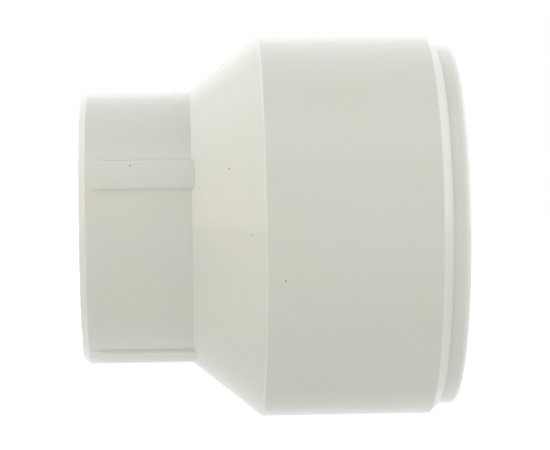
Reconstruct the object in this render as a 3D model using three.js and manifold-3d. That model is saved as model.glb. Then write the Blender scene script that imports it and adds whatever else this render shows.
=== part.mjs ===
// Ring-seal concentric reducer: a 110 mm push-fit socket stepped down to an 82 mm solvent-weld socket.
// Millimetres, +Z up. The bore runs along X: the small socket opens at -X and the large one at +X.
// The origin is on the bore's axis, half way along the fitting.

import * as THREE from 'three';
import { mergeVertices } from 'three/addons/utils/BufferGeometryUtils.js';
import Module from 'manifold-3d';

const wasm = await Module();
wasm.setup();

// ---- Driving dimensions. "At" values are distances along the bore from the small end's face. ----

const LENGTH = 123.3;
const SEGMENTS = 72; // flats round every turned surface, the same for all pieces so that their gaps hold
const GAP = 0.3; // clearance between pieces that touch on the real fitting

// Pipes that the two sockets take.
const LARGE_PIPE_R = 55.0;
const SMALL_PIPE_R = 41.2;

// Outside of the body.
const SMALL_R = 45.2;
const BARREL_R = 63.4;
const RIM_R = 60.2;
const FACE_CHAMFER = 2.0;
const CONE_START_AT = 36.0;
const CONE_END_AT = 58.9;
const BEVEL_START_AT = 114.5;
const RIM_AT = 117.7;

// Inside of the body.
const SMALL_MOUTH_R = SMALL_PIPE_R + 0.2;
const SMALL_ROOT_R = SMALL_PIPE_R;
const LEAD_IN = 0.5;
const SMALL_STOP_R = 39.2;
const SMALL_STOP_THICKNESS = 2.0;
const CONE_WALL = 4.86; // measured square to the axis, so 3.8 through the sloping wall
const SHOULDER_R = 56.0;
const BARREL_BORE_R = 59.2;

// Snap groove in the barrel's bore, which the cap's bead sits in.
const GROOVE_START_AT = 108.8;
const GROOVE_END_AT = 111.8;
const GROOVE_R = 60.4;
const GROOVE_RAMP = 0.6;

// Raised alignment pads on the small cylinder, a quarter turn apart.
const PAD_COUNT = 4;
const PAD_PHASE_DEG = 67.5; // of the first pad's middle, from +Z towards -Y
const PAD_WIDTH = 10.3;
const PAD_HEIGHT = 0.9;
const PAD_START_AT = 2.6;
const PAD_RAMP = 5.0; // length over which a pad rises from the cylinder to its full height
const PAD_END_AT = 38.0; // inside the cone's wall, so the pad dies into the cone
const PAD_ROOT = 1.2; // how deep a pad is set into the body's wall before they are joined

// Pipe guide sleeve.
const SLEEVE_BORE_R = LARGE_PIPE_R + 0.4;
const SLEEVE_WALL = 2.2;
const SLEEVE_END_AT = 94.0;
const SLEEVE_COLLAR = 2.4;
const LARGE_STOP_R = 52.8;
const LARGE_STOP_THICKNESS = 2.4;

// Lip seal.
const SEAL_LENGTH = 11.7;
const SEAL_BAND = 2.6;
const BAND_RECESS = 0.2; // how far the band is hollowed between its heel and the lip's root
const HEEL_LENGTH = 1.6;
const HEEL_HEIGHT = 0.8;
const LIP_ROOT_DROP = 0.9; // how far the lip's root stands in from the band
const LIP_TIP_R = 53.6;
const LIP_TIP_AT = 97.4;
const LIP_THICKNESS = 2.0;

// Retaining cap.
const CAP_BORE_R = LARGE_PIPE_R + 0.9;
const CAP_FLANGE_R = 60.2;
const CAP_FACE_R = 58.5;
const CAP_ROUND_START_AT = 120.9;
const CAP_MOUTH_R = 56.7;
const CAP_MOUTH_DEPTH = 2.0;
const BEAD_R = 60.05;
const BEAD_START_AT = GROOVE_START_AT + GAP;
const BEAD_END_AT = GROOVE_END_AT - GAP;
const BEAD_RAMP = 0.7;
const SLOT_COUNT = 8;
const SLOT_WIDTH = 2.4;
const SLOT_END_AT = 115.2;

// How far a block that cuts or limits a ring reaches past it, so that no two of their faces coincide.
const OVERSHOOT = 1.0;
const PAD_DIP = 0.1; // how far under the cylinder's surface a pad's ramp starts, for the same reason

// Sizes that follow from the above.
const BORE_FIT_R = BARREL_BORE_R - GAP;
const CONE_SLOPE = (BARREL_R - SMALL_R) / (CONE_END_AT - CONE_START_AT);
const SLEEVE_START_AT = CONE_END_AT + GAP;
const SEAL_START_AT = SLEEVE_END_AT + GAP;
const SEAL_END_AT = SEAL_START_AT + SEAL_LENGTH;
const SKIRT_START_AT = SEAL_END_AT + GAP;
const FLANGE_START_AT = RIM_AT + GAP;

// ---- Materials ----

const whitePlastic = () => new THREE.MeshStandardMaterial({ color: 0xe9e9e0, roughness: 0.42, metalness: 0 });
const blackRubber = () => new THREE.MeshStandardMaterial({ color: 0x1b1c1d, roughness: 0.75, metalness: 0 });

// ---- Helpers ----

// Turns a closed outline of [distance along the bore, radius] pairs, listed clockwise as seen with the
// bore running right and the radius up, into a ring about the geometry's own Y axis.
function turned(outline) {
  const points = outline.map(([at, radius]) => new THREE.Vector2(radius, at - LENGTH / 2));
  points.push(points[0].clone());
  return new THREE.LatheGeometry(points, SEGMENTS);
}

// Points of a quarter ellipse from [at, radius + rise] to [at + run, radius], bulging outwards.
function roundedCorner(at, radius, run, rise, steps = 4) {
  return Array.from({ length: steps + 1 }, (_, step) => {
    const angle = (step / steps) * (Math.PI / 2);
    return [at + run * Math.sin(angle), radius + rise * Math.cos(angle)];
  });
}

function solidOf(geometry) {
  const bare = geometry.clone();
  bare.deleteAttribute('normal');
  bare.deleteAttribute('uv');
  const merged = mergeVertices(bare);
  const vertProperties = new Float32Array(merged.attributes.position.array);
  const triVerts = new Uint32Array(merged.index.array);
  return new wasm.Manifold(new wasm.Mesh({ numProp: 3, vertProperties, triVerts }));
}

function geometryOf(solid) {
  const { vertProperties, triVerts } = solid.getMesh();
  const geometry = new THREE.BufferGeometry();
  geometry.setAttribute('position', new THREE.BufferAttribute(vertProperties, 3));
  geometry.setIndex(new THREE.BufferAttribute(triVerts, 1));
  geometry.computeVertexNormals();
  return geometry;
}

// A block that reaches from the inner to the outer radius, centred on the given direction round the bore.
function radialBlock(startAt, endAt, innerR, outerR, width, angleDeg) {
  const block = new THREE.BoxGeometry(width, endAt - startAt, outerR - innerR);
  block.translate(0, (startAt + endAt - LENGTH) / 2, (innerR + outerR) / 2);
  block.rotateY(THREE.MathUtils.degToRad(angleDeg));
  return block;
}

// ---- Pieces ----

function bodyShell() {
  const coneInnerR = (at) => SMALL_R + (at - CONE_START_AT) * CONE_SLOPE - CONE_WALL;
  const stopEndAt = CONE_START_AT + SMALL_STOP_THICKNESS;
  const shoulderAt = CONE_START_AT + (SHOULDER_R + CONE_WALL - SMALL_R) / CONE_SLOPE;
  return turned([
    [0, SMALL_R - FACE_CHAMFER],
    [FACE_CHAMFER, SMALL_R],
    [CONE_START_AT, SMALL_R],
    [CONE_END_AT, BARREL_R],
    [BEVEL_START_AT, BARREL_R],
    [RIM_AT, RIM_R],
    [RIM_AT, BARREL_BORE_R],
    [GROOVE_END_AT, BARREL_BORE_R],
    [GROOVE_END_AT - GROOVE_RAMP / 2, GROOVE_R],
    [GROOVE_START_AT + GROOVE_RAMP, GROOVE_R],
    [GROOVE_START_AT, BARREL_BORE_R],
    [CONE_END_AT, BARREL_BORE_R],
    [CONE_END_AT, SHOULDER_R],
    [shoulderAt, SHOULDER_R],
    [stopEndAt, coneInnerR(stopEndAt)],
    [stopEndAt, SMALL_STOP_R],
    [CONE_START_AT, SMALL_STOP_R],
    [CONE_START_AT, SMALL_ROOT_R],
    [LEAD_IN, SMALL_MOUTH_R],
    [0, SMALL_MOUTH_R + LEAD_IN],
  ]);
}

function alignmentPad(index) {
  const rootR = SMALL_R - PAD_ROOT;
  const topR = SMALL_R + PAD_HEIGHT;
  const ring = turned([
    [PAD_START_AT, SMALL_R - PAD_DIP],
    [PAD_START_AT + PAD_RAMP, topR],
    [PAD_END_AT, topR],
    [PAD_END_AT, rootR],
    [PAD_START_AT, rootR],
  ]);
  const sector = radialBlock(
    PAD_START_AT - OVERSHOOT,
    PAD_END_AT + OVERSHOOT,
    rootR - OVERSHOOT,
    topR + OVERSHOOT,
    PAD_WIDTH,
    PAD_PHASE_DEG + (360 / PAD_COUNT) * index,
  );
  return solidOf(ring).intersect(solidOf(sector));
}

function reducerBody() {
  let solid = solidOf(bodyShell());
  for (let index = 0; index < PAD_COUNT; index += 1) {
    solid = solid.add(alignmentPad(index));
  }
  return geometryOf(solid);
}

// A spool: a thin tube with a collar at each end and one in the middle, and a lip that stops the pipe.
function pipeGuideSleeve() {
  const tubeR = SLEEVE_BORE_R + SLEEVE_WALL;
  const middleAt = (SLEEVE_START_AT + SLEEVE_END_AT) / 2;
  return turned([
    [SLEEVE_START_AT, BORE_FIT_R],
    [SLEEVE_START_AT + SLEEVE_COLLAR, BORE_FIT_R],
    [SLEEVE_START_AT + SLEEVE_COLLAR, tubeR],
    [middleAt - SLEEVE_COLLAR / 2, tubeR],
    [middleAt - SLEEVE_COLLAR / 2, BORE_FIT_R],
    [middleAt + SLEEVE_COLLAR / 2, BORE_FIT_R],
    [middleAt + SLEEVE_COLLAR / 2, tubeR],
    [SLEEVE_END_AT - SLEEVE_COLLAR, tubeR],
    [SLEEVE_END_AT - SLEEVE_COLLAR, BORE_FIT_R],
    [SLEEVE_END_AT, BORE_FIT_R],
    [SLEEVE_END_AT, SLEEVE_BORE_R],
    [SLEEVE_START_AT + LARGE_STOP_THICKNESS, SLEEVE_BORE_R],
    [SLEEVE_START_AT + LARGE_STOP_THICKNESS, LARGE_STOP_R],
    [SLEEVE_START_AT, LARGE_STOP_R],
  ]);
}

// A band with a lip that starts at its mouth side and leans inwards, away from the mouth.
function lipSeal() {
  const bandR = BORE_FIT_R - SEAL_BAND;
  const recessR = bandR + BAND_RECESS;
  return turned([
    [SEAL_START_AT, BORE_FIT_R],
    [SEAL_END_AT, BORE_FIT_R],
    [SEAL_END_AT, bandR],
    [SEAL_END_AT - LIP_THICKNESS, bandR - LIP_ROOT_DROP],
    [LIP_TIP_AT + LIP_THICKNESS, LIP_TIP_R],
    [LIP_TIP_AT, LIP_TIP_R],
    [LIP_TIP_AT, LIP_TIP_R + LIP_THICKNESS / 2],
    [SEAL_END_AT - 2 * LIP_THICKNESS, recessR],
    [SEAL_START_AT + HEEL_LENGTH, recessR],
    [SEAL_START_AT, recessR - HEEL_HEIGHT],
  ]);
}

function retainingCap() {
  const ring = turned([
    [SKIRT_START_AT, BORE_FIT_R],
    [BEAD_START_AT, BORE_FIT_R],
    [BEAD_START_AT + BEAD_RAMP, BEAD_R],
    [BEAD_END_AT - BEAD_RAMP / 2, BEAD_R],
    [BEAD_END_AT, BORE_FIT_R],
    [FLANGE_START_AT, BORE_FIT_R],
    [FLANGE_START_AT, CAP_FLANGE_R],
    ...roundedCorner(CAP_ROUND_START_AT, CAP_FACE_R, LENGTH - CAP_ROUND_START_AT, CAP_FLANGE_R - CAP_FACE_R),
    [LENGTH, CAP_MOUTH_R],
    [LENGTH - CAP_MOUTH_DEPTH, CAP_BORE_R],
    [SKIRT_START_AT, CAP_BORE_R],
  ]);
  let solid = solidOf(ring);
  for (let index = 0; index < SLOT_COUNT; index += 1) {
    const slot = radialBlock(
      SKIRT_START_AT - OVERSHOOT,
      SLOT_END_AT,
      CAP_BORE_R - OVERSHOOT,
      BEAD_R + OVERSHOOT,
      SLOT_WIDTH,
      (360 / SLOT_COUNT) * (index + 0.5),
    );
    solid = solid.subtract(solidOf(slot));
  }
  return geometryOf(solid);
}

// ---- Assembly ----

const reducer = new THREE.Group();
reducer.rotation.z = -Math.PI / 2; // lays the turned pieces' Y axis along +X

function addPiece(name, geometry, material) {
  const mesh = new THREE.Mesh(geometry, material);
  mesh.name = name;
  reducer.add(mesh);
}

addPiece('reducer_body', reducerBody(), whitePlastic());
addPiece('pipe_guide_sleeve', pipeGuideSleeve(), whitePlastic());
addPiece('lip_seal', lipSeal(), blackRubber());
addPiece('retaining_cap', retainingCap(), whitePlastic());

const assembly = new THREE.Group();
assembly.add(reducer);

export default assembly;
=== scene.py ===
import math

import bmesh
import bpy
import numpy as np
from mathutils import Matrix, Vector


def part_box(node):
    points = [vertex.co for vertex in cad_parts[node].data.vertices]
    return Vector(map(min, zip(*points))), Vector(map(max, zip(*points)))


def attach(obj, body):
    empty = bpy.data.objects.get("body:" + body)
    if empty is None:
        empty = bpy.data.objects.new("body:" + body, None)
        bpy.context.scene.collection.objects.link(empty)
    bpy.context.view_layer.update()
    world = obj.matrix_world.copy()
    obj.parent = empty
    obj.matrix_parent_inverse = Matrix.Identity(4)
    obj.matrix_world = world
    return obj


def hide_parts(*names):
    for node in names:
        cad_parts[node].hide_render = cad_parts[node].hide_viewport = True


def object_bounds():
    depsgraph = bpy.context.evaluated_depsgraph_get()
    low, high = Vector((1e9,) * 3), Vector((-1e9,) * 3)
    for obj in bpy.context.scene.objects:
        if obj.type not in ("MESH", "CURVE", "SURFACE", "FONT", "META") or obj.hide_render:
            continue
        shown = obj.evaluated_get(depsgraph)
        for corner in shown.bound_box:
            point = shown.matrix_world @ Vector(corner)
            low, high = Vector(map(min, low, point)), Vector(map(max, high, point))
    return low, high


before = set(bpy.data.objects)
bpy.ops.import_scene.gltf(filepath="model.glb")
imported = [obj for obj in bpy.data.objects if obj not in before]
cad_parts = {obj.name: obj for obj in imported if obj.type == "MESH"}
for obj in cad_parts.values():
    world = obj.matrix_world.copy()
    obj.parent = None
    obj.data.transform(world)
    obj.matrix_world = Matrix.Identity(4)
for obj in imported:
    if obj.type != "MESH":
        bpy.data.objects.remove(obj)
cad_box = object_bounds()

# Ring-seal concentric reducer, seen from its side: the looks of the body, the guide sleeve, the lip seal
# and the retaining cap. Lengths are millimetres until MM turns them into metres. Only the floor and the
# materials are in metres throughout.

MM = 0.001

# ---- Sizes. "At" is a place along X, the bore's axis, and "R" is a radius round it. ----

# From the frame.
body_low, body_high = (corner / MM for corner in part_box("reducer_body"))
sleeve_low, sleeve_high = (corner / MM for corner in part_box("pipe_guide_sleeve"))
seal_low, seal_high = (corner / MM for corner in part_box("lip_seal"))
cap_low, cap_high = (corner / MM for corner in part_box("retaining_cap"))

FACE_AT = body_low.x
RIM_AT = body_high.x
BARREL_R = body_high.z
SLEEVE_R = sleeve_high.z  # the cap's skirt has the same radius
SEAL_R = seal_high.z
NOSE_AT = cap_high.x
CAP_FLANGE_R = cap_high.z

# Outside of the body.
SMALL_R = 45.2
FACE_CHAMFER = 2.0
CONE_START_AT = FACE_AT + 36.0
CONE_END_AT = FACE_AT + 58.9
BEVEL = 3.2
CONE_SLOPE = (BARREL_R - SMALL_R) / (CONE_END_AT - CONE_START_AT)

# Inside of the body.
SMALL_BORE_R = 41.4
SMALL_BORE_TAPER = 0.2
SMALL_STOP_R = 39.2
SMALL_STOP = 2.0
LEAD_IN = 0.5
CONE_WALL = 4.86
SHOULDER_R = 56.0
BARREL_BORE_R = 59.2
GROOVE_START_AT = FACE_AT + 108.8
GROOVE_END_AT = FACE_AT + 111.8
GROOVE_R = 60.4
GROOVE_RAMP = 0.6

# Alignment pads on the small cylinder.
PAD_COUNT = 4
PAD_PHASE_DEG = 67.5
PAD_HEIGHT = 0.9
PAD_R = SMALL_R + PAD_HEIGHT
PAD_HALF_WIDTH = 5.15
PAD_START_AT = FACE_AT + 2.6
PAD_RAMP = 5.0
PAD_EDGE = 1.0  # width of the rounded edge along a pad's long sides

# Traces of moulding and trimming on the body. Part of the flash's height is steady and part swings.
FLASH_HEIGHT = 0.13
FLASH_WIDTH = 0.28
FLASH_DEPTH = 2.0  # only points this near the barrel's radius are raised
FLASH_STEADY = 0.75
FLASH_SWING = 0.45
FLASH_SEED = 4
FLASH_WAVES = range(3, 60, 4)
FACE_WAVE = 0.17
FACE_WAVE_REACH = FACE_CHAMFER * 1.2
FACE_WAVE_SEED = 11
FACE_WAVE_ROUGHNESS = 0.35
FACE_WAVES = range(5, 120, 7)

# Guide sleeve.
SLEEVE_BORE_R = 55.4
SLEEVE_WALL = 2.2
SLEEVE_COLLAR = 2.4
LARGE_STOP_R = 52.8

# Lip seal: its band, the recess inside the band, the heel at one end and the lip at the other.
SEAL_BAND = 2.6
BAND_RECESS = 0.2
HEEL_LENGTH = 1.6
HEEL_DROP = 0.6
LIP_THICKNESS = 2.0
LIP_ROOT_DROP = 0.9
LIP_TIP_R = 53.6
LIP_TIP_AT = FACE_AT + 97.4

# Retaining cap.
CAP_BORE_R = 55.9
CAP_LEAD_IN = 0.8
CAP_MOUTH_DEPTH = 2.0
NOSE_ROUND = 1.9
SEAM = 0.002  # gap between the cap's flange and the body's rim
BEAD_R = 60.05
BEAD_GAP = 0.3
BEAD_RAMP = 0.7
SLOT_COUNT = 8
SLOT_WIDTH = 2.4
SLOT_END_AT = FACE_AT + 115.2
SLOT_CLEARANCE = 1.0  # how far the blocks that cut the slots reach past the cap

# How finely the pieces are meshed.
FINE_COLUMNS = 256
COLUMNS = 192
LEAST_COLUMN_GAP = math.radians(0.06)
PAD_EDGE_SHARES = [k / 4 - 1.25 for k in range(7)]  # columns at a pad's edge, in edge widths from its foot
OUTSIDE_MARGIN = 0.6  # a point this far inside the small cylinder's radius still counts as its outside
ROWS_FROM_R = SMALL_R - 1.5  # a stretch that starts nearer the axis than this gets no extra rows
ROW_GAP = 0.05  # least distance of an extra row from the rows already there
CLOSE_ROWS = (  # first place, last place and step
    (PAD_START_AT - 0.4, PAD_START_AT + PAD_RAMP + 0.8, 0.6),
    (CONE_START_AT - 2.0, CONE_START_AT + 2.2, 0.15),
    (CONE_END_AT - 0.9, CONE_END_AT + 0.9, 0.09),
)
NOISE_GAIN = 1.8  # brings a weighted mean of waves up to about -1 to 1


# ---- Colours and gloss ----

PVC_COLOUR = (0.68, 0.667, 0.546)
PVC_COOL = (0.662, 0.673, 0.562)
PVC_STREAK = 0.97  # brightness of a flow mark beside the plain plastic
PVC_STREAK_SHARE = 0.5
PVC_STREAK_STRETCH = (9, 110, 110)  # cells of the flow marks' noise in a metre, along X, Y and Z
# A lighter colour mixed in on rounded outward corners: a painted edge highlight.
PVC_EDGE_HIGHLIGHT = (0.90, 0.90, 0.87, 1)
PVC_EDGE_HIGHLIGHT_SHARE = 0.12
PVC_ROUGHNESS = (0.14, 0.18)  # from the low to the high places of the broad waves
PVC_GRAIN_ROUGHNESS = 0.03  # the most that the fine grain adds
SLEEVE_TINT = (0.97, 0.97, 0.98)
CAP_TINT = (1.05, 1.04, 1.05)
SPECK_CORE = 0.55  # share of a speck's radius that has its full colour
SPECKS = (  # cells in a metre, a speck's radius in cells, the share of cells that have one, its colour
    (125, 0.04, 0.4, (0.24, 0.14, 0.09, 1)),
    (210, 0.045, 0.35, (0.48, 0.43, 0.35, 1)),
)
RUBBER_COLOUR = (0.018, 0.018, 0.019, 1)
RUBBER_BLOOM = (0.05, 0.05, 0.048, 1)
RUBBER_BLOOM_SHARE = 0.5
RUBBER_ROUGHNESS = (0.5, 0.68)

# ---- Camera, floor and light ----

CAMERA_X = -34.0
CAMERA_DISTANCE = 815.0
CAMERA_HEIGHT = 8.0
CAMERA_YAW = 0.04493
CAMERA_PITCH = -0.00932
CAMERA_ROLL = -0.01354
CAMERA_LENS = 158.93
SENSOR_WIDTH = 36.0

FLOOR_REACH = 8.0
PAPER_ALBEDO = 0.22
PAPER_FIBRE = 1.05  # brightness of a fibre beside the plain paper
PAPER_GLOW_COLOUR = (0.96, 0.99, 1.07, 1)
PAPER_GLOW = (0.6, 0.82)  # strength in front of the object, and under and behind it
PAPER_GLOW_SPAN = (-0.045, -0.005)  # places along Y between which it rises
PAPER_GLOW_SEEN = 0.9  # strength that the camera sees, everywhere

# The world's light: the strength of each part, and where along X, Y or Z it comes in or fades out.
WORLD_FRONT = 0.815
WORLD_LEFT = 0.85
WORLD_LEFT_SPAN = (-0.4, -0.8)
WORLD_RIGHT = 1.38
WORLD_RIGHT_SPAN = (0.55, 0.95)
WORLD_TOP = -0.26
WORLD_BACK = 0.75
WORLD_BACK_LOW = 0.12  # share of the light behind that is left at the horizon
WORLD_BACK_SPAN = (0.0, 0.45)
WORLD_DIFFUSER = 0.45
WORLD_DIFFUSER_FOOT = (0.64, 0.70)
WORLD_DIFFUSER_TOP = (0.93, 0.96)
WORLD_DIFFUSER_BACK = (-0.1, 0.1)
WORLD_WARM = (1.05, 0.99, 0.97, 1)
WORLD_COOL = (0.96, 1.0, 1.06, 1)
WORLD_SKY = (0.96, 1.0, 1.12, 1)
WORLD_SKY_SPAN = (0.2, 0.9)
BACKDROP = (1.0, 1.0, 1.0, 1)


# ---- Mesh tools ----

def rounded_outline(corners, step=6.0, arc_steps=5, guard=0.35):
    """A closed outline with its corners rounded: [at, radius, roundness] in, [at, radius, edge] out.

    The corners are listed clockwise, with the bore running right and the radius up. edge is 1 on a rounded
    outward corner and 0 elsewhere. The points of a straight stretch start a guard away from its corners.
    """
    count = len(corners)
    arcs = []
    for i, (at, radius, roundness) in enumerate(corners):
        here = np.array([at, radius])
        before = np.array(corners[i - 1][:2]) - here
        after = np.array(corners[(i + 1) % count][:2]) - here
        toward_before = before / np.linalg.norm(before)
        toward_after = after / np.linalg.norm(after)
        half = math.acos(np.clip(toward_before @ toward_after, -1, 1)) / 2
        reach = roundness / math.tan(half)
        centre_way = toward_before + toward_after
        centre_way = centre_way / np.linalg.norm(centre_way)
        centre = here + centre_way * roundness / math.sin(half)
        start = here + toward_before * reach - centre
        end = here + toward_after * reach - centre
        turn = math.atan2(start[0] * end[1] - start[1] * end[0], start @ end)
        arc = []
        for k in range(arc_steps + 1):
            angle = turn * k / arc_steps
            cos, sin = math.cos(angle), math.sin(angle)
            turned = np.array([start[0] * cos - start[1] * sin, start[0] * sin + start[1] * cos])
            arc.append(centre + turned)
        arcs.append((arc, 1.0 if turn < 0 else 0.0))
    outline = []
    for i, (arc, edge) in enumerate(arcs):
        outline += [(p[0], p[1], edge) for p in arc]
        leave, arrive = arc[-1], arcs[(i + 1) % count][0][0]
        run = np.linalg.norm(arrive - leave)
        if run > 3 * guard:
            inner = run - 2 * guard
            pieces = max(1, math.ceil(inner / step))
            for k in range(pieces + 1):
                share = (guard + inner * k / pieces) / run
                p = leave + (arrive - leave) * share
                outline.append((p[0], p[1], 0.0))
    return outline


def with_rows(outline, first_at, last_at, step):
    """The outline with more points between two places along the bore, but not inside the small socket."""
    dense = []
    for i, point in enumerate(outline):
        dense.append(point)
        after = outline[(i + 1) % len(outline)]
        low, high = min(point[0], after[0]), max(point[0], after[0])
        if point[1] < ROWS_FROM_R or low >= last_at or high <= first_at or high - low <= step:
            continue
        stops = np.arange(first_at, last_at + step / 2, step)
        stops = [stop for stop in stops if low + ROW_GAP < stop < high - ROW_GAP]
        for stop in stops if after[0] > point[0] else reversed(stops):
            share = (stop - point[0]) / (after[0] - point[0])
            dense.append(tuple(p + (q - p) * share for p, q in zip(point, after)))
    return dense


def linked(name, data):
    """A new object in the scene."""
    made = bpy.data.objects.new(name, data)
    bpy.context.scene.collection.objects.link(made)
    return made


def spun(name, outline, angles, lift=None):
    """A closed ring: the outline turned round X through the given angles, from +Z towards -Y.

    lift(at, radius, angle) gives the extra distance along X and outwards of each point, in arrays.
    """
    at = np.array([p[0] for p in outline])[:, None] * np.ones(len(angles))
    radius = np.array([p[1] for p in outline])[:, None] * np.ones(len(angles))
    angle = np.ones(len(outline))[:, None] * np.asarray(angles)
    if lift is not None:
        along, outwards = lift(at, radius, angle)
        at = at + along
        radius = radius + outwards
    places = np.stack([at, -radius * np.sin(angle), radius * np.cos(angle)], -1).reshape(-1, 3) * MM
    rows, columns = len(outline), len(angles)
    i, j = np.meshgrid(np.arange(rows), np.arange(columns), indexing="ij")
    i_next, j_next = (i + 1) % rows, (j + 1) % columns
    corners = [i * columns + j, i * columns + j_next, i_next * columns + j_next, i_next * columns + j]
    faces = np.stack(corners, -1).reshape(-1, 4)
    mesh = bpy.data.meshes.new(name)
    mesh.from_pydata(places.tolist(), [], faces.tolist())
    edge = mesh.attributes.new("edge", "FLOAT", "POINT")
    edge.data.foreach_set("value", np.repeat([p[2] for p in outline], columns).astype(np.float32))
    shell = bmesh.new()
    shell.from_mesh(mesh)
    bmesh.ops.recalc_face_normals(shell, faces=shell.faces)
    shell.to_mesh(mesh)
    shell.free()
    mesh.shade_smooth()
    return linked(name, mesh)


def even_angles(count):
    return [2 * math.pi * k / count for k in range(count)]


def smooth_noise(angle, seed, waves, roughness=0.75):
    """Repeatable waviness round the bore, about -1 to 1, from a sum of whole-number waves."""
    random = np.random.default_rng(seed)
    total = np.zeros_like(angle)
    weight = 0.0
    for wave in waves:
        strength = wave ** -roughness
        total = total + strength * np.sin(wave * angle + random.uniform(0, 2 * math.pi))
        weight += strength
    return total / weight * NOISE_GAIN


def slot_cutter():
    """One mesh of blocks that cut the slots between the cap's fingers."""
    start_at = cap_low.x - SLOT_CLEARANCE
    inner_r = CAP_BORE_R - 2 * SLOT_CLEARANCE
    outer_r = BEAD_R + SLOT_CLEARANCE
    size = Matrix.Diagonal(((SLOT_END_AT - start_at) * MM, SLOT_WIDTH * MM, (outer_r - inner_r) * MM, 1))
    place = Matrix.Translation(Vector(((start_at + SLOT_END_AT) / 2, 0, (inner_r + outer_r) / 2)) * MM)
    cutter = bmesh.new()
    for k in range(SLOT_COUNT):
        turn = Matrix.Rotation(2 * math.pi * (k + 0.5) / SLOT_COUNT, 4, "X")
        bmesh.ops.create_cube(cutter, size=1, matrix=turn @ place @ size)
    mesh = bpy.data.meshes.new("slots")
    cutter.to_mesh(mesh)
    cutter.free()
    return linked("slots", mesh)


def cut(piece, cutter):
    """Takes the cutter's shape out of the piece for good."""
    modifier = piece.modifiers.new("slots", "BOOLEAN")
    modifier.operation = "DIFFERENCE"
    modifier.solver = "EXACT"
    modifier.object = cutter
    bpy.context.view_layer.update()
    finished = bpy.data.meshes.new_from_object(piece.evaluated_get(bpy.context.evaluated_depsgraph_get()))
    piece.modifiers.clear()
    piece.data = finished
    piece.data.shade_smooth()
    bpy.data.objects.remove(cutter)


# ---- Pieces ----

def pad_angles():
    """The directions of the pads' middles, from +Z towards -Y."""
    return [math.radians(PAD_PHASE_DEG + 360 / PAD_COUNT * k) for k in range(PAD_COUNT)]


def body_angles():
    """Even columns round the body, with closer ones where a pad's long edge needs them."""
    half = PAD_HALF_WIDTH / PAD_R
    edge = PAD_EDGE / PAD_R
    angles = even_angles(FINE_COLUMNS)
    for middle in pad_angles():
        for side in (-1, 1):
            angles += [middle + side * (half + edge * share) for share in PAD_EDGE_SHARES]
    kept = []
    for angle in sorted(a % (2 * math.pi) for a in angles):
        if not kept or angle - kept[-1] > LEAST_COLUMN_GAP:
            kept.append(angle)
    return kept


def pad_lift(at, radius, angle):
    """How far the pads raise the small cylinder: a ramp from the mouth, and rounded long edges."""
    pads = np.zeros_like(at)
    for middle in pad_angles():
        across = np.abs((angle - middle + math.pi) % (2 * math.pi) - math.pi) * PAD_R
        inward = np.clip((PAD_HALF_WIDTH - across) / PAD_EDGE, 0, 1)
        pads = np.maximum(pads, np.sqrt(1 - (1 - inward) ** 2))
    ramp = np.clip((at - PAD_START_AT) / PAD_RAMP, 0, 1)
    pad_r = SMALL_R + (PAD_R - SMALL_R) * pads * ramp
    on_small = (radius > SMALL_R - OUTSIDE_MARGIN) & (at > PAD_START_AT)
    return np.where(on_small, np.maximum(pad_r - radius, 0), 0)


def flash_lift(at, radius, angle):
    """The fine, uneven ridge of flash on the corner between the cone and the barrel."""
    flash = FLASH_HEIGHT * (FLASH_STEADY + FLASH_SWING * smooth_noise(angle, FLASH_SEED, FLASH_WAVES))
    ridge = np.exp(-(((at - CONE_END_AT) / FLASH_WIDTH) ** 2))
    return np.where(radius > BARREL_R - FLASH_DEPTH, np.maximum(flash, 0) * ridge, 0)


def face_shift(at, angle):
    """How far the trimmed face of the small mouth strays along the bore, fading out past its chamfer."""
    near_face = np.clip(1 - (at - FACE_AT) / FACE_WAVE_REACH, 0, 1)
    trimmed = FACE_WAVE * smooth_noise(angle, FACE_WAVE_SEED, FACE_WAVES, FACE_WAVE_ROUGHNESS)
    return near_face * trimmed


def body_lift(at, radius, angle):
    outwards = pad_lift(at, radius, angle) + flash_lift(at, radius, angle)
    return face_shift(at, angle), outwards


def make_body():
    stop_end_at = CONE_START_AT + SMALL_STOP
    shoulder_at = CONE_START_AT + (SHOULDER_R + CONE_WALL - SMALL_R) / CONE_SLOPE
    cone_inner_r = SMALL_R + SMALL_STOP * CONE_SLOPE - CONE_WALL
    corners = [
        (FACE_AT, SMALL_R - FACE_CHAMFER, 0.2),
        (FACE_AT + FACE_CHAMFER, SMALL_R, 0.35),
        (CONE_START_AT, SMALL_R, 0.3),
        (CONE_END_AT, BARREL_R, 0.55),
        (RIM_AT - BEVEL, BARREL_R, 0.45),
        (RIM_AT, BARREL_R - BEVEL, 0.02),
        (RIM_AT, BARREL_BORE_R, 0.2),
        (GROOVE_END_AT, BARREL_BORE_R, 0.1),
        (GROOVE_END_AT - GROOVE_RAMP / 2, GROOVE_R, 0.15),
        (GROOVE_START_AT + GROOVE_RAMP, GROOVE_R, 0.15),
        (GROOVE_START_AT, BARREL_BORE_R, 0.1),
        (CONE_END_AT, BARREL_BORE_R, 0.3),
        (CONE_END_AT, SHOULDER_R, 0.3),
        (shoulder_at, SHOULDER_R, 1.0),
        (stop_end_at, cone_inner_r, 0.5),
        (stop_end_at, SMALL_STOP_R, 0.3),
        (CONE_START_AT, SMALL_STOP_R, 0.3),
        (CONE_START_AT, SMALL_BORE_R - SMALL_BORE_TAPER, 0.25),
        (FACE_AT + LEAD_IN, SMALL_BORE_R, 0.15),
        (FACE_AT, SMALL_BORE_R + LEAD_IN, 0.15),
    ]
    outline = rounded_outline(corners)
    for first_at, last_at, step in CLOSE_ROWS:
        outline = with_rows(outline, first_at, last_at, step)
    return spun("body_moulding", outline, body_angles(), body_lift)


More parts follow.
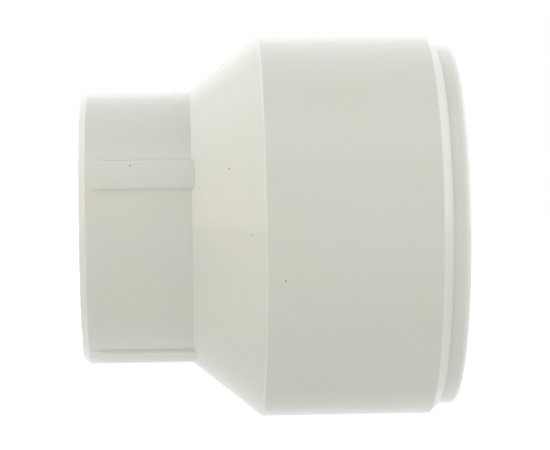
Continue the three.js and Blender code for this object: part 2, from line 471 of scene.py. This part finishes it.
def make_sleeve():
    tube_r = SLEEVE_BORE_R + SLEEVE_WALL
    start_at, end_at = sleeve_low.x, sleeve_high.x
    middle_at = (start_at + end_at) / 2
    corners = [
        (start_at, SLEEVE_R, 0.3),
        (start_at + SLEEVE_COLLAR, SLEEVE_R, 0.3),
        (start_at + SLEEVE_COLLAR, tube_r, 0.5),
        (middle_at - SLEEVE_COLLAR / 2, tube_r, 0.5),
        (middle_at - SLEEVE_COLLAR / 2, SLEEVE_R, 0.3),
        (middle_at + SLEEVE_COLLAR / 2, SLEEVE_R, 0.3),
        (middle_at + SLEEVE_COLLAR / 2, tube_r, 0.5),
        (end_at - SLEEVE_COLLAR, tube_r, 0.5),
        (end_at - SLEEVE_COLLAR, SLEEVE_R, 0.3),
        (end_at, SLEEVE_R, 0.3),
        (end_at, SLEEVE_BORE_R, 0.6),
        (start_at + SLEEVE_COLLAR, SLEEVE_BORE_R, 0.4),
        (start_at + SLEEVE_COLLAR, LARGE_STOP_R, 0.4),
        (start_at, LARGE_STOP_R, 0.4),
    ]
    return spun("guide_sleeve_moulding", rounded_outline(corners), even_angles(COLUMNS))


def make_seal():
    band_r = SEAL_R - SEAL_BAND
    start_at, end_at = seal_low.x, seal_high.x
    corners = [
        (start_at, SEAL_R, 0.4),
        (end_at, SEAL_R, 0.4),
        (end_at, band_r, 0.5),
        (end_at - LIP_THICKNESS, band_r - LIP_ROOT_DROP, 0.8),
        (LIP_TIP_AT + LIP_THICKNESS, LIP_TIP_R, 0.7),
        (LIP_TIP_AT, LIP_TIP_R, 0.4),
        (LIP_TIP_AT, LIP_TIP_R + LIP_THICKNESS / 2, 0.4),
        (end_at - 2 * LIP_THICKNESS, band_r + BAND_RECESS, 0.5),
        (start_at + HEEL_LENGTH, band_r + BAND_RECESS, 0.4),
        (start_at, band_r - HEEL_DROP, 0.4),
    ]
    return spun("lip_seal_ring", rounded_outline(corners), even_angles(COLUMNS))


def make_cap():
    bead_start_at = GROOVE_START_AT + BEAD_GAP
    bead_end_at = GROOVE_END_AT - BEAD_GAP
    corners = [
        (cap_low.x, SLEEVE_R, 0.2),
        (bead_start_at, SLEEVE_R, 0.15),
        (bead_start_at + BEAD_RAMP, BEAD_R, 0.25),
        (bead_end_at - BEAD_RAMP / 2, BEAD_R, 0.2),
        (bead_end_at, SLEEVE_R, 0.1),
        (RIM_AT + SEAM, SLEEVE_R, 0.1),
        (RIM_AT + SEAM, CAP_FLANGE_R, 0.02),
        (NOSE_AT, CAP_FLANGE_R, NOSE_ROUND),
        (NOSE_AT, CAP_BORE_R + CAP_LEAD_IN, 0.25),
        (NOSE_AT - CAP_MOUTH_DEPTH, CAP_BORE_R, 0.8),
        (cap_low.x, CAP_BORE_R, 0.25),
    ]
    cap = spun("retaining_cap_moulding", rounded_outline(corners, arc_steps=8), even_angles(FINE_COLUMNS))
    cut(cap, slot_cutter())
    return cap


# ---- Materials ----

def new_material(name):
    material = bpy.data.materials.new(name)
    material.use_nodes = True
    tree = material.node_tree
    return material, tree, tree.nodes["Principled BSDF"]


def node(tree, kind, inputs=None, **settings):
    """A node with its settings and inputs; an input is a value, or a socket to link from."""
    made = tree.nodes.new(kind)
    for key, value in settings.items():
        setattr(made, key, value)
    for key, value in (inputs or {}).items():
        if isinstance(value, bpy.types.NodeSocket):
            tree.links.new(value, made.inputs[key])
        else:
            made.inputs[key].default_value = value
    return made


def noise(tree, place, scale, detail, roughness=0.5):
    inputs = {"Vector": place, "Scale": scale, "Detail": detail, "Roughness": roughness}
    return node(tree, "ShaderNodeTexNoise", inputs).outputs[0]


def bump(tree, height, strength, distance):
    inputs = {"Height": height, "Strength": strength, "Distance": distance}
    return node(tree, "ShaderNodeBump", inputs)


def mix_colour(tree, share, first, second):
    """The first colour turning into the second as share goes from 0 to 1."""
    factor_in, first_in, second_in, colour_out = 0, 6, 7, 2
    inputs = {factor_in: share, first_in: first, second_in: second}
    return node(tree, "ShaderNodeMix", inputs, data_type="RGBA").outputs[colour_out]


def ramp_between(tree, value, low, high, to_low=0.0, to_high=1.0, smooth=False):
    """value mapped from low..high to to_low..to_high, held at the ends."""
    inputs = {0: value, 1: low, 2: high, 3: to_low, 4: to_high}
    kind = "SMOOTHSTEP" if smooth else "LINEAR"
    return node(tree, "ShaderNodeMapRange", inputs, interpolation_type=kind).outputs[0]


def math_node(tree, operation, first, second):
    return node(tree, "ShaderNodeMath", {0: first, 1: second}, operation=operation).outputs[0]


def plain_pvc(tree, place, tint):
    """White plastic, faintly mottled, with flow marks along the bore and a painted highlight on its
    rounded corners.
    """
    base = (*(PVC_COLOUR[k] * tint[k] for k in range(3)), 1)
    cooler = (*(PVC_COOL[k] * tint[k] for k in range(3)), 1)
    mottle = noise(tree, place, scale=38, detail=4, roughness=0.55)
    colour = mix_colour(tree, ramp_between(tree, mottle, low=0.35, high=0.65), base, cooler)

    along = node(tree, "ShaderNodeMapping", {"Vector": place, "Scale": PVC_STREAK_STRETCH}).outputs[0]
    flow = noise(tree, along, scale=1.0, detail=3)
    streaks = ramp_between(tree, flow, low=0.4, high=0.8, to_high=PVC_STREAK_SHARE)
    colour = mix_colour(tree, streaks, colour, (*(c * PVC_STREAK for c in base[:3]), 1))

    # Rounded outward corners are mixed towards a lighter colour: a painted highlight along the edges.
    edge = node(tree, "ShaderNodeAttribute", attribute_name="edge").outputs["Fac"]
    return mix_colour(tree, math_node(tree, "MULTIPLY", edge, PVC_EDGE_HIGHLIGHT_SHARE), colour, PVC_EDGE_HIGHLIGHT)


def with_specks(tree, place, colour):
    """The colour with a few darker specks in it."""
    for cells, radius, chance, dark in SPECKS:
        voronoi = node(tree, "ShaderNodeTexVoronoi", {"Vector": place, "Scale": cells}).outputs
        dot = ramp_between(tree, voronoi["Distance"], radius * SPECK_CORE, radius, 1.0, 0.0)
        picked = node(tree, "ShaderNodeSeparateColor", {0: voronoi["Color"]}).outputs[0]
        chosen = math_node(tree, "LESS_THAN", picked, chance)
        colour = mix_colour(tree, math_node(tree, "MULTIPLY", dot, chosen), colour, dark)
    return colour


def white_pvc(name, tint=(1.0, 1.0, 1.0)):
    """As-moulded PVC-U: satin white, with a fine grain over broad, shallow waves."""
    material, tree, shader = new_material(name)
    place = node(tree, "ShaderNodeTexCoord").outputs["Object"]
    colour = with_specks(tree, place, plain_pvc(tree, place, tint))
    tree.links.new(colour, shader.inputs["Base Color"])

    grain = noise(tree, place, scale=900, detail=3, roughness=0.6)
    wave = noise(tree, place, scale=70, detail=2)
    waved = ramp_between(tree, wave, 0.3, 0.7, *PVC_ROUGHNESS)
    grained = math_node(tree, "MULTIPLY", grain, PVC_GRAIN_ROUGHNESS)
    tree.links.new(math_node(tree, "ADD", waved, grained), shader.inputs["Roughness"])

    fine = bump(tree, grain, strength=0.25, distance=0.00003)
    broad = bump(tree, wave, strength=0.35, distance=0.0003)
    tree.links.new(fine.outputs[0], broad.inputs["Normal"])
    tree.links.new(broad.outputs[0], shader.inputs["Normal"])

    shader.inputs["IOR"].default_value = 1.53
    shader.inputs["Subsurface Weight"].default_value = 0.25
    shader.inputs["Subsurface Radius"].default_value = (1.0, 0.95, 0.8)
    shader.inputs["Subsurface Scale"].default_value = 0.002
    return material


def black_rubber():
    """Moulded elastomer: near black, matt, with a dusting of pale bloom and a fine grain."""
    material, tree, shader = new_material("black_rubber")
    place = node(tree, "ShaderNodeTexCoord").outputs["Object"]
    bloom = noise(tree, place, scale=120, detail=5, roughness=0.65)
    dusting = ramp_between(tree, bloom, low=0.45, high=0.75, to_high=RUBBER_BLOOM_SHARE)
    colour = mix_colour(tree, dusting, RUBBER_COLOUR, RUBBER_BLOOM)
    fine = bump(tree, noise(tree, place, scale=1400, detail=2), strength=0.4, distance=0.00004)
    tree.links.new(colour, shader.inputs["Base Color"])
    tree.links.new(ramp_between(tree, bloom, 0.3, 0.7, *RUBBER_ROUGHNESS), shader.inputs["Roughness"])
    tree.links.new(fine.outputs[0], shader.inputs["Normal"])
    return material


def floor_paper():
    """Pale translucent paper over a light table, so bright that the object throws almost no shadow.

    It glows more under and behind the object than in front, which lights the underside. The camera sees
    one even glow.
    """
    material, tree, shader = new_material("floor_paper")
    place = node(tree, "ShaderNodeTexCoord").outputs["Object"]
    plain = (*[PAPER_ALBEDO] * 3, 1)
    fibre = (*[PAPER_ALBEDO * PAPER_FIBRE] * 3, 1)
    paper = mix_colour(tree, noise(tree, place, scale=60, detail=4), plain, fibre)
    depth = node(tree, "ShaderNodeSeparateXYZ", {0: place}).outputs["Y"]
    glow = ramp_between(tree, depth, *PAPER_GLOW_SPAN, *PAPER_GLOW, smooth=True)
    seen = node(tree, "ShaderNodeLightPath").outputs["Is Camera Ray"]
    strength = ramp_between(tree, seen, 0.0, 1.0, glow, PAPER_GLOW_SEEN)
    tree.links.new(paper, shader.inputs["Base Color"])
    tree.links.new(strength, shader.inputs["Emission Strength"])
    shader.inputs["Emission Color"].default_value = PAPER_GLOW_COLOUR
    shader.inputs["Roughness"].default_value = 0.95
    shader.inputs["Specular IOR Level"].default_value = 0.0
    return material


# ---- Stage ----

def make_camera():
    forward = Vector((
        math.sin(CAMERA_YAW) * math.cos(CAMERA_PITCH),
        math.cos(CAMERA_YAW) * math.cos(CAMERA_PITCH),
        math.sin(CAMERA_PITCH),
    ))
    level = Vector((math.cos(CAMERA_YAW), -math.sin(CAMERA_YAW), 0))
    upright = level.cross(forward)
    right = level * math.cos(CAMERA_ROLL) + upright * math.sin(CAMERA_ROLL)
    up = upright * math.cos(CAMERA_ROLL) - level * math.sin(CAMERA_ROLL)
    data = bpy.data.cameras.new("camera")
    data.lens = CAMERA_LENS
    data.sensor_width = SENSOR_WIDTH
    data.clip_start, data.clip_end = 0.01, 100
    camera = linked("camera", data)
    turn = Matrix((right, up, -forward)).transposed().to_4x4()
    place = Vector((CAMERA_X, -CAMERA_DISTANCE, CAMERA_HEIGHT)) * MM
    camera.matrix_world = Matrix.Translation(place) @ turn
    bpy.context.scene.camera = camera


def make_floor():
    low = cad_box[0].z
    corners = [(x * FLOOR_REACH, y * FLOOR_REACH, low) for x, y in ((-1, -1), (1, -1), (1, 1), (-1, 1))]
    mesh = bpy.data.meshes.new("floor")
    mesh.from_pydata(corners, [], [(0, 1, 2, 3)])
    floor = linked("floor", mesh)
    floor.data.materials.append(floor_paper())


def world_level(tree, way):
    """How bright the surroundings are in a direction, given as its X, Y and Z sockets."""
    left = ramp_between(tree, way["X"], *WORLD_LEFT_SPAN, 0.0, WORLD_LEFT, smooth=True)
    right = ramp_between(tree, way["X"], *WORLD_RIGHT_SPAN, 0.0, WORLD_RIGHT, smooth=True)
    above = ramp_between(tree, way["Z"], 0.0, 1.0, 0.0, WORLD_TOP)

    behind = ramp_between(tree, way["Y"], 0.0, 1.0, 0.0, WORLD_BACK)
    rise = ramp_between(tree, way["Z"], *WORLD_BACK_SPAN, WORLD_BACK_LOW, 1.0)
    behind = math_node(tree, "MULTIPLY", behind, rise)

    foot = ramp_between(tree, way["Z"], *WORLD_DIFFUSER_FOOT)
    top = ramp_between(tree, way["Z"], *WORLD_DIFFUSER_TOP, 1.0, 0.0)
    back = ramp_between(tree, way["Y"], *WORLD_DIFFUSER_BACK, WORLD_DIFFUSER, 0.0)
    diffuser = math_node(tree, "MULTIPLY", math_node(tree, "MULTIPLY", foot, top), back)

    sides = math_node(tree, "ADD", left, right)
    level = math_node(tree, "ADD", WORLD_FRONT, sides)
    level = math_node(tree, "ADD", level, math_node(tree, "ADD", above, behind))
    return math_node(tree, "ADD", level, diffuser)


def make_world():
    """Soft white surroundings: brighter to the sides and high up behind, dimmer overhead.

    The light is a little warmer from the small end's side, cooler from the large end's and coolest from
    above. A long diffuser hangs high on the camera's side. The camera itself sees plain white.
    """
    world = bpy.data.worlds.new("studio")
    bpy.context.scene.world = world
    world.use_nodes = True
    tree = world.node_tree
    direction = node(tree, "ShaderNodeTexCoord").outputs["Generated"]
    way = node(tree, "ShaderNodeSeparateXYZ", {0: direction}).outputs
    tone = mix_colour(tree, ramp_between(tree, way["X"], -1.0, 1.0), WORLD_WARM, WORLD_COOL)
    tone = mix_colour(tree, ramp_between(tree, way["Z"], *WORLD_SKY_SPAN), tone, WORLD_SKY)
    level = world_level(tree, way)
    light = node(tree, "ShaderNodeVectorMath", {0: tone, 1: level}, operation="MULTIPLY").outputs[0]
    seen = node(tree, "ShaderNodeLightPath").outputs["Is Camera Ray"]
    shown = mix_colour(tree, seen, light, BACKDROP)
    tree.links.new(shown, tree.nodes["Background"].inputs["Color"])


# ---- The scene ----

make_camera()
make_floor()
make_world()

PIECES = (
    (make_body, "reducer_body", white_pvc("body_pvc"), "white_pvc"),
    (make_sleeve, "pipe_guide_sleeve", white_pvc("sleeve_pvc", SLEEVE_TINT), "white_pvc"),
    (make_seal, "lip_seal", black_rubber(), "black_rubber"),
    (make_cap, "retaining_cap", white_pvc("cap_pvc", CAP_TINT), "white_pvc"),
)
for make_piece, cad_node, material, slot_name in PIECES:
    piece = make_piece()
    piece.data.materials.append(material)
    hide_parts(cad_node)
    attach(piece, "root")

bpy.context.scene.view_settings.view_transform = "Standard"

bpy.context.view_layer.update()
